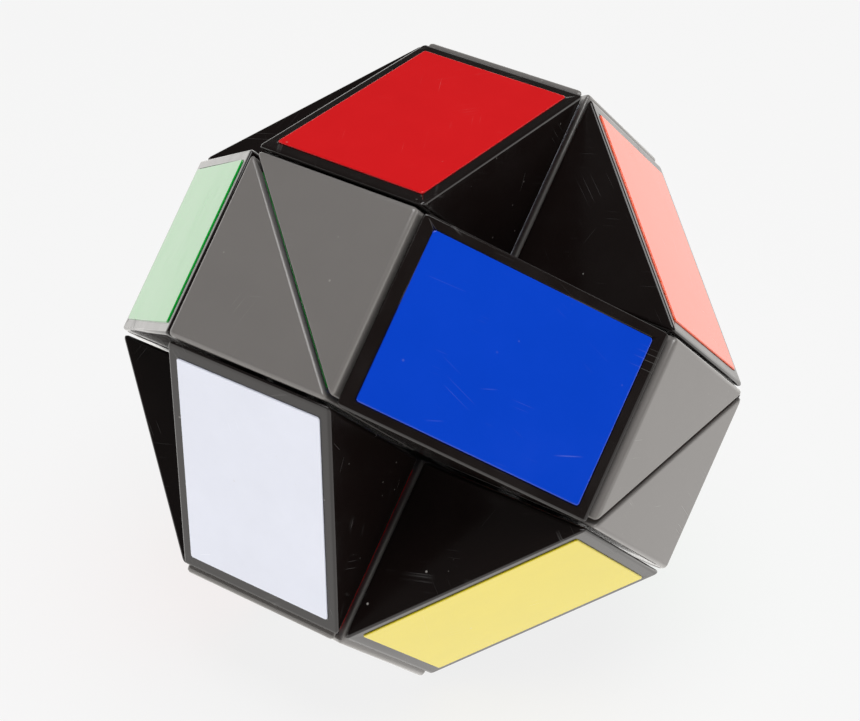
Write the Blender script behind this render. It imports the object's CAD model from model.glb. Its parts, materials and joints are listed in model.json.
import json
import math

import bmesh
import bpy
from mathutils import Matrix, Vector


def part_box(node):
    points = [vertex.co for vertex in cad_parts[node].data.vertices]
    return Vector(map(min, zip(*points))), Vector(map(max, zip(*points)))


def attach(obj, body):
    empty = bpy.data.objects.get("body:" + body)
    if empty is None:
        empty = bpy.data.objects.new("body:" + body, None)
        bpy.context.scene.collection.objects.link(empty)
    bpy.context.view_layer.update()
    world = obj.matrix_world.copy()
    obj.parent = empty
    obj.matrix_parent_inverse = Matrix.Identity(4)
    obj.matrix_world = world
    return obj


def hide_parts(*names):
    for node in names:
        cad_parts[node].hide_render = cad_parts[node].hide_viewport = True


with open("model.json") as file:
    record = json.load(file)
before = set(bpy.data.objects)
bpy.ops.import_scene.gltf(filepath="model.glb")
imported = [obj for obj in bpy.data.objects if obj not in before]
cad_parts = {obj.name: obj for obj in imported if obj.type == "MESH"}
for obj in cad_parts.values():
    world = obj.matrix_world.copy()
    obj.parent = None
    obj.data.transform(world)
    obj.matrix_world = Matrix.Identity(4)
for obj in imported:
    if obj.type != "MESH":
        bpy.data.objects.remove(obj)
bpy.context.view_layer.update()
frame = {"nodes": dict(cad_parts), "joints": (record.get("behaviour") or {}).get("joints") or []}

bl_info = {
    "name": "Folding snake puzzle",
    "version": (1, 0, 0),
    "blender": (4, 5, 0),
    "location": "View3D > Sidebar > Snake",
    "description": "Moulded shells, snap-in panels and sprung pivots of a 24-wedge folding snake puzzle",
    "category": "Object",
}

MM = 0.001
COUNT = 24
# quarter turn at each pivot, by the right-hand rule along the chain; the pattern repeats three times
TURNS = (-1, 1, -1, 1, 1, -1, 1, -1)
# colours in their order along the chain; two wedges share each one
PANEL_NAMES = ("red", "blue", "orange", "white", "green", "yellow")
FILLET_SEGMENTS = 5
ROUND_SEGMENTS = 48
# how far a cutter reaches past what it cuts
CUT = 1 * MM
# edges that turn more than this are sharp
SHARP_ANGLE = math.radians(40)
# a face larger than this is a flat; a fillet that leans less than 60 degrees from it starts from its normal
FLAT_AREA = 3 * MM ** 2
FLAT_LEAN = math.cos(math.radians(60))
# the directions that hairline scratches run across, and the sizes of the patterns in the finishes
HAIRLINE_WAYS = ((0.62, 0.35, 0.70), (-0.25, 0.80, 0.54), (0.75, -0.60, 0.28))
DUST_COLOUR = "#cbc8c3"
HAIRLINE_EVERY = 1.4286 * MM
SCRATCHED_PATCH = 4.762 * MM
RUBBED_PATCH = 6.25 * MM
DUST_CELL = 1.111 * MM
RIPPLE = 3.03 * MM
ZINC_GRAIN = 0.4 * MM
PIVOTS = {j["name"]: Vector(j["pos_m"]) for j in frame["joints"]}
# two pivots of one wedge sit in the middle of its two square faces
PITCH = (PIVOTS["pivot_01"] - PIVOTS["pivot_02"]).length * math.sqrt(2)
MIDDLE = (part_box("wedge_01_panel")[1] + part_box("wedge_13_panel")[0]) / 2


def linear(code):
    """An sRGB hex colour as linear red, green, blue, alpha."""
    parts = [int(code[i:i + 2], 16) / 255 for i in (1, 3, 5)]
    return [p / 12.92 if p <= 0.04045 else ((p + 0.055) / 1.055) ** 2.4 for p in parts] + [1.0]


def length(name, size, what):
    return bpy.props.FloatProperty(name=name, default=size, description=what, unit="LENGTH", precision=5)


def colour(name, code, what):
    return bpy.props.FloatVectorProperty(
        name=name, default=linear(code), size=4, min=0, max=1, subtype="COLOR", description=what)


class WedgeSizes(bpy.types.PropertyGroup):
    pitch: length("Pitch", PITCH, "Leg of the triangle, from one pivot plane to the next")
    gap: length("Gap", 0.3 * MM, "Between the square faces of two neighbouring wedges")
    recess: length("Frame recess", 0.25 * MM, "From the diagonal plane down to the frame round a panel")
    square_r: length("Square edge radius", 0.6 * MM, "Along the edge between the two square faces")
    sharp_r: length("Sharp edge radius", 0.3 * MM, "Along the two 45 degree edges")
    end_r: length("End radius", 0.5 * MM, "Round the triangular ends, along the square faces")
    slope_r: length("Slope radius", 0.3 * MM, "Round the triangular ends, along the sloping face")
    wall: length("Wall", 1.5 * MM, "Thickness of the shell")
    hub_r: length("Bearing ring radius", 3.2 * MM, "Of the raised ring round each pivot")
    hub_gap: length("Bearing ring gap", 0.02 * MM, "From each ring to the plane that two rings share")
    boss_r: length("Boss radius", 2.3 * MM, "Of the boss that takes a screw, in the black shells")
    boss_d: length("Boss depth", 3.5 * MM, "From the pivot plane to the bottom of the boss")
    screw_r: length("Screw radius", 1 * MM, "Of the pivot screw")
    screw_fit: length("Screw clearance", 0.06 * MM, "Round the screw, in the gray shells")
    thread_bite: length("Thread bite", 0.05 * MM, "Of the screw into its boss")


class PanelSizes(bpy.types.PropertyGroup):
    end_margin: length("End margin", 2 * MM, "Frame at each end of a panel, by the sharp edges")
    side_margin: length("Side margin", 1.15 * MM, "Frame along each side of a panel")
    seat: length("Seat", 1.2 * MM, "Depth of the pocket that a panel sits in")
    proud: length("Proud", 0.15 * MM, "Height of a panel above its frame")
    fit: length("Clearance", 0.04 * MM, "Round a panel in its pocket")
    corner_r: length("Corner radius", 0.3 * MM, "At the four corners of a panel")
    rim_r: length("Rim radius", 0.12 * MM, "Round the face of a panel")
    lip: length("Lip", 0.08 * MM, "Chamfer round the mouth of a pocket")
    tongue_l: length("Tongue length", 6 * MM, "Of the two snap tongues under a panel")
    tongue_t: length("Tongue thickness", 1 * MM, "Of the two snap tongues under a panel")
    tongue_d: length("Tongue depth", 1.8 * MM, "Of the two snap tongues under a panel")


class Colours(bpy.types.PropertyGroup):
    black: colour("Black", "#140e0d", "Shells of the odd wedges")
    gray: colour("Gray", "#757270", "Shells of the even wedges")
    red: colour("Red", "#dc1218", "Panels of wedges 1, 12 and 13, and 24")
    blue: colour("Blue", "#0040c8", "Panels of wedges 2, 3, 14 and 15")
    orange: colour("Orange", "#f4500c", "Panels of wedges 4, 5, 16 and 17")
    white: colour("White", "#e6eaf8", "Panels of wedges 6, 7, 18 and 19")
    green: colour("Green", "#00a432", "Panels of wedges 8, 9, 20 and 21")
    yellow: colour("Yellow", "#d6c40c", "Panels of wedges 10, 11, 22 and 23")
    zinc: colour("Zinc", "#c4c6c8", "Screws, washers and springs")
    floor: colour("Floor", "#f6f6f6", "Floor and background")


class StudioSettings(bpy.types.PropertyGroup):
    azimuth: bpy.props.FloatProperty(
        name="Azimuth", default=math.radians(36.96), subtype="ANGLE",
        description="Of the camera, from the front")
    elevation: bpy.props.FloatProperty(
        name="Elevation", default=math.radians(33.21), subtype="ANGLE",
        description="Of the camera, above level")
    roll: bpy.props.FloatProperty(
        name="Roll", default=math.radians(-0.67), subtype="ANGLE",
        description="Of the camera about its own line")
    distance: length("Distance", 271.9 * MM, "From the camera to the middle of the ball")
    focal: bpy.props.FloatProperty(
        name="Focal length", default=110.2, description="In millimetres, on a sensor 36 mm wide")
    aim: bpy.props.FloatVectorProperty(
        name="Aim", default=(0.277 * MM, 0.211 * MM, -0.057 * MM), unit="LENGTH",
        description="Where the camera looks, from the middle of the ball")
    table_glow: bpy.props.FloatProperty(
        name="Table glow", default=1.35, description="Brightness of the lit table, as the object sees it")
    table_tint: colour("Table tint", "#fffdfa", "Colour of the light from the table")
    table_white: bpy.props.FloatProperty(
        name="Table white", default=0.1,
        description="How much of the softbox's light the table top throws back")
    tent_dark: bpy.props.FloatProperty(
        name="Upper dark", default=0.07, description="Brightness of the room above the table's far edge")
    softbox: bpy.props.FloatProperty(
        name="Softbox", default=0.77,
        description="Light on a level face under the softbox, against plain white")


# Placing the wedges

def wedge_places(sizes):
    """A matrix for each wedge. In its own frame its square edge is on Z, its square faces on X and Y."""
    tilt = math.sqrt(0.5)
    cell = Vector((0, 0, 2 * tilt))
    before, after = Vector((0, tilt, -tilt)), Vector((0, -tilt, -tilt))
    places = []
    for i in range(COUNT):
        at = MIDDLE + sizes.pitch * cell + sizes.pitch / 2 * (before + after)
        side = before.cross(after)
        columns = (-before, -after, side, at)
        places.append(Matrix([[c[row] for c in columns] for row in range(3)] + [[0, 0, 0, 1]]))
        cell, before, after = cell + after, -after, TURNS[i % len(TURNS)] * after.cross(-before)
    return places


def wedge_name(i):
    return f"wedge_{i + 1:02d}"


def panel_name(i):
    return PANEL_NAMES[-(-i // 2) % len(PANEL_NAMES)]


def slope_distance(sizes):
    """From the square edge's line to the frame's plane."""
    return (sizes.pitch - sizes.recess * math.sqrt(2)) / math.sqrt(2)


def on_slope(sizes):
    """+Z out of the sloping face, X along the slope and Y along the wedge."""
    out = slope_distance(sizes) / math.sqrt(2)
    return (Matrix.Translation((out, out, 0)) @ Matrix.Rotation(math.radians(45), 4, "Z")
            @ Matrix.Rotation(math.radians(90), 4, "Z") @ Matrix.Rotation(math.radians(90), 4, "X"))


def on_face(sizes, after):
    """+Z outwards along a pivot, on the square face towards the wedge after, or the one before."""
    half = sizes.pitch / 2
    if after:
        return Matrix.Translation((half, 0, 0)) @ Matrix.Rotation(math.radians(90), 4, "X")
    return Matrix.Translation((0, half, 0)) @ Matrix.Rotation(math.radians(-90), 4, "Y")


# Shaping

def mesh_of(bm, name):
    """A mesh from a bmesh, with its faces turned outwards."""
    bmesh.ops.recalc_face_normals(bm, faces=bm.faces)
    mesh = bpy.data.meshes.new(name)
    bm.to_mesh(mesh)
    bm.free()
    return mesh


def prism(corners, low, high):
    """A bmesh of a flat outline drawn out along Z."""
    bm = bmesh.new()
    base = bm.faces.new([bm.verts.new((x, y, low)) for x, y in corners])
    top = bmesh.ops.extrude_face_region(bm, geom=[base])["geom"]
    verts = [v for v in top if isinstance(v, bmesh.types.BMVert)]
    bmesh.ops.translate(bm, vec=(0, 0, high - low), verts=verts)
    return bm


def block(low, high):
    """A bmesh box between two corners."""
    bm = bmesh.new()
    size = [b - a for a, b in zip(low, high)]
    middle = [(a + b) / 2 for a, b in zip(low, high)]
    bmesh.ops.create_cube(bm, size=1, matrix=Matrix.Translation(middle) @ Matrix.Diagonal((*size, 1)))
    return bm


def round_edges(bm, edges, radius, segments=FILLET_SEGMENTS):
    bmesh.ops.bevel(bm, geom=edges, offset=radius, offset_type="OFFSET", segments=segments, profile=0.5,
                    affect="EDGES", material=-1)


def upright(bm):
    return [e for e in bm.edges if abs((e.verts[0].co - e.verts[1].co).normalized().z) > 0.9]


def rod(radius, low, high):
    bm = bmesh.new()
    bmesh.ops.create_cone(bm, cap_ends=True, segments=ROUND_SEGMENTS, radius1=radius, radius2=radius,
                          depth=high - low, matrix=Matrix.Translation((0, 0, (low + high) / 2)))
    return bm


def evaluated(obj):
    """The object's mesh with its modifiers applied; the object is removed."""
    bpy.context.view_layer.update()
    result = bpy.data.meshes.new_from_object(obj.evaluated_get(bpy.context.evaluated_depsgraph_get()))
    bpy.data.objects.remove(obj)
    return result


def combine(mesh, tool, operation, place=None):
    """Joins a tool to a mesh, or cuts it away."""
    if place is not None:
        tool.transform(place)
    objects = []
    for m in (mesh, tool):
        objects.append(bpy.data.objects.new("work", m))
        bpy.context.scene.collection.objects.link(objects[-1])
    boolean = objects[0].modifiers.new("combine", "BOOLEAN")
    boolean.operation, boolean.solver, boolean.object = operation, "EXACT", objects[1]
    result = evaluated(objects[0])
    bpy.data.objects.remove(objects[1])
    return result


def outer_wedge(sizes):
    """The shell's outside: a triangular prism with its own radius on each kind of edge."""
    face, slope = sizes.gap / 2, sizes.pitch - sizes.recess * math.sqrt(2)
    half = (sizes.pitch - sizes.gap) / 2
    bm = prism([(face, face), (slope - face, face), (face, slope - face)], -half, half)
    sharp_width = sizes.sharp_r / math.tan(math.radians(22.5))
    weights = bm.edges.layers.float.new("bevel_weight_edge")
    for e in bm.edges:
        middle = (e.verts[0].co + e.verts[1].co) / 2
        on_the_slope = abs(middle.x + middle.y - slope) < sizes.recess
        if abs(middle.z) < half / 2:
            width = sharp_width if on_the_slope else sizes.square_r
        else:
            width = sizes.slope_r if on_the_slope else sizes.end_r
        e[weights] = width / sharp_width
    obj = bpy.data.objects.new("work", mesh_of(bm, "outer"))
    bpy.context.scene.collection.objects.link(obj)
    bevel = obj.modifiers.new("round", "BEVEL")
    bevel.width, bevel.limit_method = sharp_width, "WEIGHT"
    bevel.segments, bevel.profile = FILLET_SEGMENTS, 0.5
    bevel.use_clamp_overlap = False
    return evaluated(obj)


def pocket(sizes, panel):
    """The cutter for a panel's pocket, with a chamfered mouth."""
    l, w = panel_size(sizes, panel)
    l, w = l + 2 * panel.fit, w + 2 * panel.fit
    bm = block((-l / 2, -w / 2, -panel.seat), (l / 2, w / 2, -panel.lip))
    round_edges(bm, upright(bm), panel.corner_r + panel.fit, segments=3)
    for rise, grow in ((panel.lip, panel.lip), (CUT, 0)):
        top = max(bm.faces, key=lambda f: f.calc_center_median().z)
        made = bmesh.ops.extrude_face_region(bm, geom=[top])["geom"]
        verts = [v for v in made if isinstance(v, bmesh.types.BMVert)]
        bmesh.ops.translate(bm, vec=(0, 0, rise), verts=verts)
        bmesh.ops.scale(bm, vec=(1 + 2 * grow / l, 1 + 2 * grow / w, 1), verts=verts)
    return mesh_of(bm, "pocket")


def panel_size(sizes, panel):
    return (2 * (slope_distance(sizes) - panel.end_margin),
            sizes.pitch - sizes.gap - 2 * panel.side_margin)


def shell_mesh(sizes, panel, is_black, faces):
    """A hollow shell in its own frame. faces says which square faces have a pivot."""
    mesh = outer_wedge(sizes)
    inner = sizes.gap / 2 + sizes.wall
    seat_line = sizes.pitch - (sizes.recess + panel.seat) * math.sqrt(2)
    half = (sizes.pitch - sizes.gap) / 2 - sizes.wall
    hollow = prism([(inner, inner), (seat_line - inner, inner), (inner, seat_line - inner)], -half, half)
    mesh = combine(mesh, mesh_of(hollow, "hollow"), "DIFFERENCE")
    mesh = combine(mesh, pocket(sizes, panel), "DIFFERENCE", on_slope(sizes))
    skin = sizes.gap / 2 + sizes.wall / 2
    for after in faces:
        place = on_face(sizes, after)
        ring = rod(sizes.hub_r, -skin, -sizes.hub_gap)
        mesh = combine(mesh, mesh_of(ring, "ring"), "UNION", place)
        if is_black:
            mesh = combine(mesh, mesh_of(rod(sizes.boss_r, -sizes.boss_d, -skin), "boss"), "UNION", place)
        radius = sizes.screw_r - sizes.thread_bite if is_black else sizes.screw_r + sizes.screw_fit
        bore = rod(radius, -sizes.boss_d - CUT, CUT)
        mesh = combine(mesh, mesh_of(bore, "bore"), "DIFFERENCE", place)
    return mesh


def panel_mesh(sizes, panel):
    """A panel with its two snap tongues, lying on the slope of a wedge."""
    l, w = panel_size(sizes, panel)
    bm = block((-l / 2, -w / 2, -panel.seat), (l / 2, w / 2, panel.proud))
    round_edges(bm, upright(bm), panel.corner_r)
    rim = [e for e in bm.edges if min(v.co.z for v in e.verts) > 0]
    round_edges(bm, rim, panel.rim_r, segments=3)
    mesh = mesh_of(bm, "panel")
    outside = (sizes.pitch - sizes.gap) / 2 - sizes.wall - panel.fit
    for side in (-1, 1):
        y = sorted((side * outside, side * (outside - panel.tongue_t)))
        tongue = block((-panel.tongue_l / 2, y[0], -panel.seat - panel.tongue_d),
                       (panel.tongue_l / 2, y[1], -panel.seat / 2))
        mesh = combine(mesh, mesh_of(tongue, "tongue"), "UNION")
    mesh.transform(on_slope(sizes))
    return mesh


def keep_flats(mesh):
    """Custom normals: a flat face keeps its own to its edge, and the fillets beside it start from there."""
    flats = {v: [] for v in range(len(mesh.vertices))}
    for face in mesh.polygons:
        if face.area > FLAT_AREA:
            for v in face.vertices:
                flats[v].append(face.normal)
    normals = [n.vector.copy() for n in mesh.corner_normals]
    for face in mesh.polygons:
        for corner, v in zip(face.loop_indices, face.vertices):
            near = [n for n in flats[v] if n.dot(face.normal) > FLAT_LEAN]
            if face.area > FLAT_AREA:
                normals[corner] = face.normal.copy()
            elif near:
                normals[corner] = max(near, key=face.normal.dot).copy()
    mesh.normals_split_custom_set(normals)


def finish_piece(name, shape, place, material, body, replaced):
    """A finished piece: its place is in its mesh, its flats stay flat under the light."""
    mesh = shape.copy()
    mesh.name = name
    mesh.transform(place)
    mesh.materials.clear()
    mesh.materials.append(material)
    mesh.shade_smooth()
    mesh.set_sharp_from_angle(angle=SHARP_ANGLE)
    keep_flats(mesh)
    obj = bpy.data.objects.new(name, mesh)
    bpy.context.scene.collection.objects.link(obj)
    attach(obj, body)
    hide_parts(replaced)


# Materials

def add_node(tree, kind, settings=None, **links):
    """Adds a node, sets its properties or inputs, and links inputs given as keywords."""
    node = tree.nodes.new(kind)
    for key, value in (settings or {}).items():
        if isinstance(key, int) or key in node.inputs:
            node.inputs[key].default_value = value
        else:
            setattr(node, key, value)
    for key, source in links.items():
        target = node.inputs[int(key[1:])] if key[0] == "i" and key[1:].isdigit() else node.inputs[key]
        tree.links.new(source, target)
    return node


def new_material(name):
    material = bpy.data.materials.new(name)
    material.use_nodes = True
    tree = material.node_tree
    tree.nodes.clear()
    output = tree.nodes.new("ShaderNodeOutputMaterial")
    return material, tree, output


def moulded_abs(name, base, roughness, dust, scuff):
    """Gloss ABS from a polished mould: a hard, faintly rippled gloss with hairline scratches, rubbed patches
    where fingers turn it, and a little pale dust."""
    material, tree, output = new_material(name)
    place = add_node(tree, "ShaderNodeTexCoord").outputs["Object"]

    # patches rubbed by fingers
    rub = add_node(tree, "ShaderNodeTexNoise", {"Scale": 1 / RUBBED_PATCH, "Detail": 3, "Roughness": 0.6},
                   Vector=place)
    # hairlines: planes across a one-way noise, which any flat face cuts in straight lines, kept only where a
    # coarser noise lets them, so that they stay short and sparse; they are drawn 0.02 mm wide, since real
    # ones are too fine to show
    scratch = None
    for seed, way in enumerate(HAIRLINE_WAYS):
        along = add_node(tree, "ShaderNodeVectorMath", {"operation": "DOT_PRODUCT", 1: way}, i0=place)
        ridge = add_node(tree, "ShaderNodeTexNoise",
                         {"noise_dimensions": "1D", "Scale": 1 / HAIRLINE_EVERY, "Detail": 0},
                         W=along.outputs["Value"])
        near = add_node(tree, "ShaderNodeMath", {"operation": "SUBTRACT", 1: 0.5}, i0=ridge.outputs["Fac"])
        side = add_node(tree, "ShaderNodeMath", {"operation": "ABSOLUTE"}, i0=near.outputs[0])
        line = add_node(tree, "ShaderNodeMapRange",
                        {"From Min": 0.0, "From Max": 0.012, "To Min": 1, "To Max": 0}, Value=side.outputs[0])
        where = add_node(tree, "ShaderNodeTexNoise",
                         {"noise_dimensions": "4D", "Scale": 1 / SCRATCHED_PATCH, "Detail": 1, "W": seed},
                         Vector=place)
        sparse = add_node(tree, "ShaderNodeMapRange", {"From Min": 0.62, "From Max": 0.76},
                          Value=where.outputs["Fac"])
        kept = add_node(tree, "ShaderNodeMath", {"operation": "MULTIPLY"},
                        i0=line.outputs[0], i1=sparse.outputs[0])
        scratch = kept if scratch is None else add_node(
            tree, "ShaderNodeMath", {"operation": "MAXIMUM"}, i0=scratch.outputs[0], i1=kept.outputs[0])
    # dust: specks 0.15 to 0.3 mm across, in a few percent of the cells
    cells = add_node(tree, "ShaderNodeTexVoronoi", {"Scale": 1 / DUST_CELL, "Randomness": 1.0}, Vector=place)
    pick = add_node(tree, "ShaderNodeMapRange", {"From Min": 0.93, "From Max": 0.99},
                    Value=add_node(tree, "ShaderNodeSeparateColor", i0=cells.outputs["Color"]).outputs[0])
    dot = add_node(tree, "ShaderNodeMapRange", {"From Min": 0.06, "From Max": 0.14, "To Min": 1, "To Max": 0},
                   Value=cells.outputs["Distance"])
    speck = add_node(tree, "ShaderNodeMath", {"operation": "MULTIPLY"}, i0=pick.outputs[0], i1=dot.outputs[0])

    # colour: pigment two percent uneven, with pale hairlines and specks
    tone = add_node(tree, "ShaderNodeMapRange",
                    {"From Min": 0.3, "From Max": 0.7, "To Min": 0.98, "To Max": 1.02},
                    Value=rub.outputs["Fac"])
    shade = add_node(tree, "ShaderNodeVectorMath", {"operation": "SCALE", 0: base[:3]}, Scale=tone.outputs[0])
    pale = [b + (1 - b) * 0.35 for b in base[:3]] + [1.0]
    marks = add_node(tree, "ShaderNodeMath", {"operation": "MULTIPLY", 1: scuff}, i0=scratch.outputs[0])
    scratched = add_node(tree, "ShaderNodeMix", {"data_type": "RGBA", 7: pale},
                         i0=marks.outputs[0], i6=shade.outputs[0])
    dusty = add_node(tree, "ShaderNodeMath", {"operation": "MULTIPLY", 1: dust}, i0=speck.outputs[0])
    dusted = add_node(tree, "ShaderNodeMix", {"data_type": "RGBA", 7: linear(DUST_COLOUR)},
                      i0=dusty.outputs[0], i6=scratched.outputs[2])

    # gloss: duller where rubbed or scratched
    least, most = roughness * 0.75, roughness * 1.6
    dull = add_node(tree, "ShaderNodeMapRange",
                    {"From Min": 0.35, "From Max": 0.75, "To Min": least, "To Max": most},
                    Value=rub.outputs["Fac"])
    worn = add_node(tree, "ShaderNodeMath", {"operation": "MULTIPLY_ADD", 1: 0.25},
                    i0=scratch.outputs[0], i2=dull.outputs[0])

    # the slight ripple of a polished mould, then the hairlines' grooves
    ripple = add_node(tree, "ShaderNodeTexNoise", {"Scale": 1 / RIPPLE, "Detail": 1}, Vector=place)
    wave = add_node(tree, "ShaderNodeBump", {"Strength": 0.05, "Distance": 0.1 * MM},
                    Height=ripple.outputs["Fac"])
    groove = add_node(tree, "ShaderNodeBump", {"Strength": 0.1, "Distance": 0.02 * MM, "invert": True},
                      Height=scratch.outputs[0], Normal=wave.outputs[0])
    shader = add_node(tree, "ShaderNodeBsdfPrincipled", {"IOR": 1.54},
                      i0=dusted.outputs[2], Roughness=worn.outputs[0], Normal=groove.outputs[0])
    tree.links.new(shader.outputs[0], output.inputs["Surface"])
    return material


def zinc_plate(name, base):
    """Zinc-plated steel: bright, slightly bluish, with a fine grain left by the plating."""
    material, tree, output = new_material(name)
    place = add_node(tree, "ShaderNodeTexCoord").outputs["Object"]
    grain = add_node(tree, "ShaderNodeTexNoise", {"Scale": 1 / ZINC_GRAIN, "Detail": 4}, Vector=place)
    rough = add_node(tree, "ShaderNodeMapRange", {"To Min": 0.22, "To Max": 0.42}, Value=grain.outputs["Fac"])
    bump = add_node(tree, "ShaderNodeBump", {"Strength": 0.15, "Distance": 0.02 * MM},
                    Height=grain.outputs["Fac"])
    shader = add_node(tree, "ShaderNodeBsdfPrincipled", {"Base Color": base, "Metallic": 1.0},
                      Roughness=rough.outputs[0], Normal=bump.outputs[0])
    tree.links.new(shader.outputs[0], output.inputs["Surface"])
    return material


# Operators

class SNAKE_OT_shells(bpy.types.Operator):
    """Makes the 24 moulded shells"""
    bl_idname = "snake.shells"
    bl_label = "Moulded shells"

    def execute(self, context):
        scene = context.scene
        sizes, panel, colours = scene.snake_wedge, scene.snake_panel, scene.snake_colours
        black = moulded_abs("black moulded ABS", colours.black, 0.16, dust=0.7, scuff=0.15)
        gray = moulded_abs("gray moulded ABS", colours.gray, 0.15, dust=0.25, scuff=0.15)
        shapes = {}
        for i, place in enumerate(wedge_places(sizes)):
            is_black = i % 2 == 0
            has_pivot = {False: i > 0, True: i < COUNT - 1}
            faces = tuple(after for after in (False, True) if has_pivot[after])
            if (is_black, faces) not in shapes:
                shapes[is_black, faces] = shell_mesh(sizes, panel, is_black, faces)
            name = wedge_name(i)
            finish_piece(f"{name}_moulded_shell", shapes[is_black, faces], place, black if is_black else gray,
                         name, f"{name}_shell")
        return {"FINISHED"}


class SNAKE_OT_panels(bpy.types.Operator):
    """Makes the 24 coloured snap-in panels"""
    bl_idname = "snake.panels"
    bl_label = "Snap-in panels"

    def execute(self, context):
        scene = context.scene
        sizes, panel, colours = scene.snake_wedge, scene.snake_panel, scene.snake_colours
        finishes = {c: moulded_abs(f"{c} moulded ABS", getattr(colours, c), 0.1, dust=0.2, scuff=0.15)
                    for c in PANEL_NAMES}
        shape = panel_mesh(sizes, panel)
        for i, place in enumerate(wedge_places(sizes)):
            name, hue = wedge_name(i), panel_name(i)
            finish_piece(f"{name}_snap_panel", shape, place, finishes[hue],
                         name, f"{name}_panel")
        return {"FINISHED"}


class SNAKE_OT_pivots(bpy.types.Operator):
    """Plates the screws, washers and springs of the pivots"""
    bl_idname = "snake.pivots"
    bl_label = "Sprung pivots"

    def execute(self, context):
        zinc = zinc_plate("zinc-plated steel", context.scene.snake_colours.zinc)
        for name, obj in frame["nodes"].items():
            if name.endswith("_pivots"):
                obj.data.materials.clear()
                obj.data.materials.append(zinc)
        return {"FINISHED"}


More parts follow.
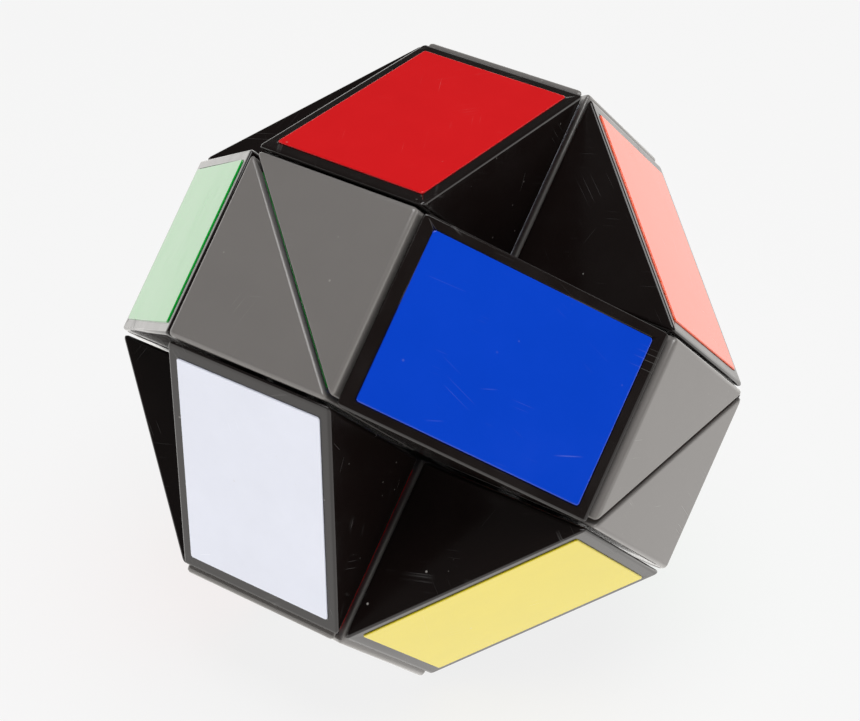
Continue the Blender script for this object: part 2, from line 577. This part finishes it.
class SNAKE_OT_studio(bpy.types.Operator):
    """Sets up the table, the light tent, the softbox and the camera"""
    bl_idname = "snake.studio"
    bl_label = "Studio"

    def execute(self, context):
        scene = context.scene
        studio, colours = scene.snake_studio, scene.snake_colours
        self.table(studio, colours)
        self.tent(scene, studio, colours)
        self.lamp(scene, studio)
        self.camera(scene, studio)
        scene.view_settings.view_transform = "Standard"
        return {"FINISHED"}

    def table(self, studio, colours):
        """A lit white table top, which glows a little less than it reflects in gloss plastic."""
        bm = bmesh.new()
        bmesh.ops.create_grid(bm, x_segments=1, y_segments=1, size=3.0)
        bmesh.ops.recalc_face_normals(bm, faces=bm.faces)
        mesh = bpy.data.meshes.new("table")
        bm.to_mesh(mesh)
        bm.free()
        top = bpy.data.objects.new("table", mesh)
        bpy.context.scene.collection.objects.link(top)
        material, tree, output = new_material("opal acrylic table")
        seen = add_node(tree, "ShaderNodeLightPath").outputs["Is Camera Ray"]
        white = add_node(tree, "ShaderNodeBsdfDiffuse", {"Color": (studio.table_white,) * 3 + (1,)})
        # the softbox's light on the white, which the glow makes up to the floor's colour
        thrown_back = 0.8 * studio.table_white
        glow = add_node(tree, "ShaderNodeEmission",
                        {"Color": (1, 1, 1, 1), "Strength": colours.floor[0] - thrown_back})
        both = add_node(tree, "ShaderNodeAddShader", i0=white.outputs[0], i1=glow.outputs[0])
        lit = add_node(tree, "ShaderNodeEmission",
                       {"Color": studio.table_tint, "Strength": studio.table_glow})
        mix = add_node(tree, "ShaderNodeMixShader", i0=seen, i1=lit.outputs[0], i2=both.outputs[0])
        tree.links.new(mix.outputs[0], output.inputs["Surface"])
        mesh.materials.append(material)

    def tent(self, scene, studio, colours):
        """Bright round the table's edge and dark above it."""
        # heights on a unit sphere, 6 and 20 degrees up
        glow_to, dark_from = 0.1, 0.34
        world = bpy.data.worlds.new("light tent")
        scene.world = world
        world.use_nodes = True
        tree = world.node_tree
        tree.nodes.clear()
        output = tree.nodes.new("ShaderNodeOutputWorld")
        ray = add_node(tree, "ShaderNodeTexCoord").outputs["Generated"]
        height = add_node(tree, "ShaderNodeSeparateXYZ", Vector=ray).outputs["Z"]
        fade = add_node(tree, "ShaderNodeMapRange", {
            "interpolation_type": "SMOOTHSTEP", "From Min": glow_to, "From Max": dark_from,
            "To Min": studio.table_glow, "To Max": studio.tent_dark}, Value=height)
        around = add_node(tree, "ShaderNodeBackground", {"Color": studio.table_tint},
                          Strength=fade.outputs[0])
        plain = add_node(tree, "ShaderNodeBackground", {"Color": colours.floor, "Strength": 1.0})
        seen = add_node(tree, "ShaderNodeLightPath").outputs["Is Camera Ray"]
        mix = add_node(tree, "ShaderNodeMixShader", i0=seen, i1=around.outputs[0], i2=plain.outputs[0])
        tree.links.new(mix.outputs[0], output.inputs["Surface"])

    def lamp(self, scene, studio):
        """A softbox over the table, a little to the right."""
        side, height, aside = 0.5, 0.62, 0.12
        data = bpy.data.lights.new("softbox", "AREA")
        data.shape, data.size = "SQUARE", side
        # a level face under a small lamp gets energy / (pi * height ** 2); this wide one needs a fifth more
        wide = 1.2
        data.energy = wide * studio.softbox * math.pi * height ** 2 * math.pi
        light = bpy.data.objects.new("softbox", data)
        light.location = (aside, 0, height)
        scene.collection.objects.link(light)

    def camera(self, scene, studio):
        data = bpy.data.cameras.new("camera")
        data.sensor_width, data.lens = 36, studio.focal
        data.clip_start, data.clip_end = 0.01, 20
        camera = bpy.data.objects.new("camera", data)
        scene.collection.objects.link(camera)
        a, e = studio.azimuth, studio.elevation
        back = Vector((math.sin(a) * math.cos(e), -math.cos(a) * math.cos(e), math.sin(e)))
        camera.location = MIDDLE + back * studio.distance
        look = MIDDLE + Vector(studio.aim) - camera.location
        turn = look.to_track_quat("-Z", "Y").to_matrix() @ Matrix.Rotation(studio.roll, 3, "Z")
        camera.rotation_euler = turn.to_euler()
        scene.camera = camera


class SNAKE_PT_sidebar(bpy.types.Panel):
    """Lists the puzzle's parts and the studio"""
    bl_label = "Folding snake puzzle"
    bl_idname = "SNAKE_PT_sidebar"
    bl_space_type = "VIEW_3D"
    bl_region_type = "UI"
    bl_category = "Snake"

    def draw(self, context):
        layout = self.layout
        for operator in OPERATORS:
            layout.operator(operator.bl_idname)
        for name in GROUPS:
            box = layout.box()
            group = getattr(context.scene, name)
            for key in group.bl_rna.properties.keys():
                if key not in ("rna_type", "name"):
                    box.prop(group, key)


GROUPS = {
    "snake_wedge": WedgeSizes,
    "snake_panel": PanelSizes,
    "snake_colours": Colours,
    "snake_studio": StudioSettings,
}
OPERATORS = (SNAKE_OT_shells, SNAKE_OT_panels, SNAKE_OT_pivots, SNAKE_OT_studio)


def register():
    for group in (*GROUPS.values(), *OPERATORS, SNAKE_PT_sidebar):
        bpy.utils.register_class(group)
    for name, group in GROUPS.items():
        setattr(bpy.types.Scene, name, bpy.props.PointerProperty(type=group))


def unregister():
    for name in GROUPS:
        delattr(bpy.types.Scene, name)
    for group in (SNAKE_PT_sidebar, *reversed(OPERATORS), *reversed(GROUPS.values())):
        bpy.utils.unregister_class(group)


def main():
    register()
    bpy.ops.snake.shells()
    bpy.ops.snake.panels()
    bpy.ops.snake.pivots()
    bpy.ops.snake.studio()
    bpy.context.view_layer.update()


if __name__ == "__main__":
    main()
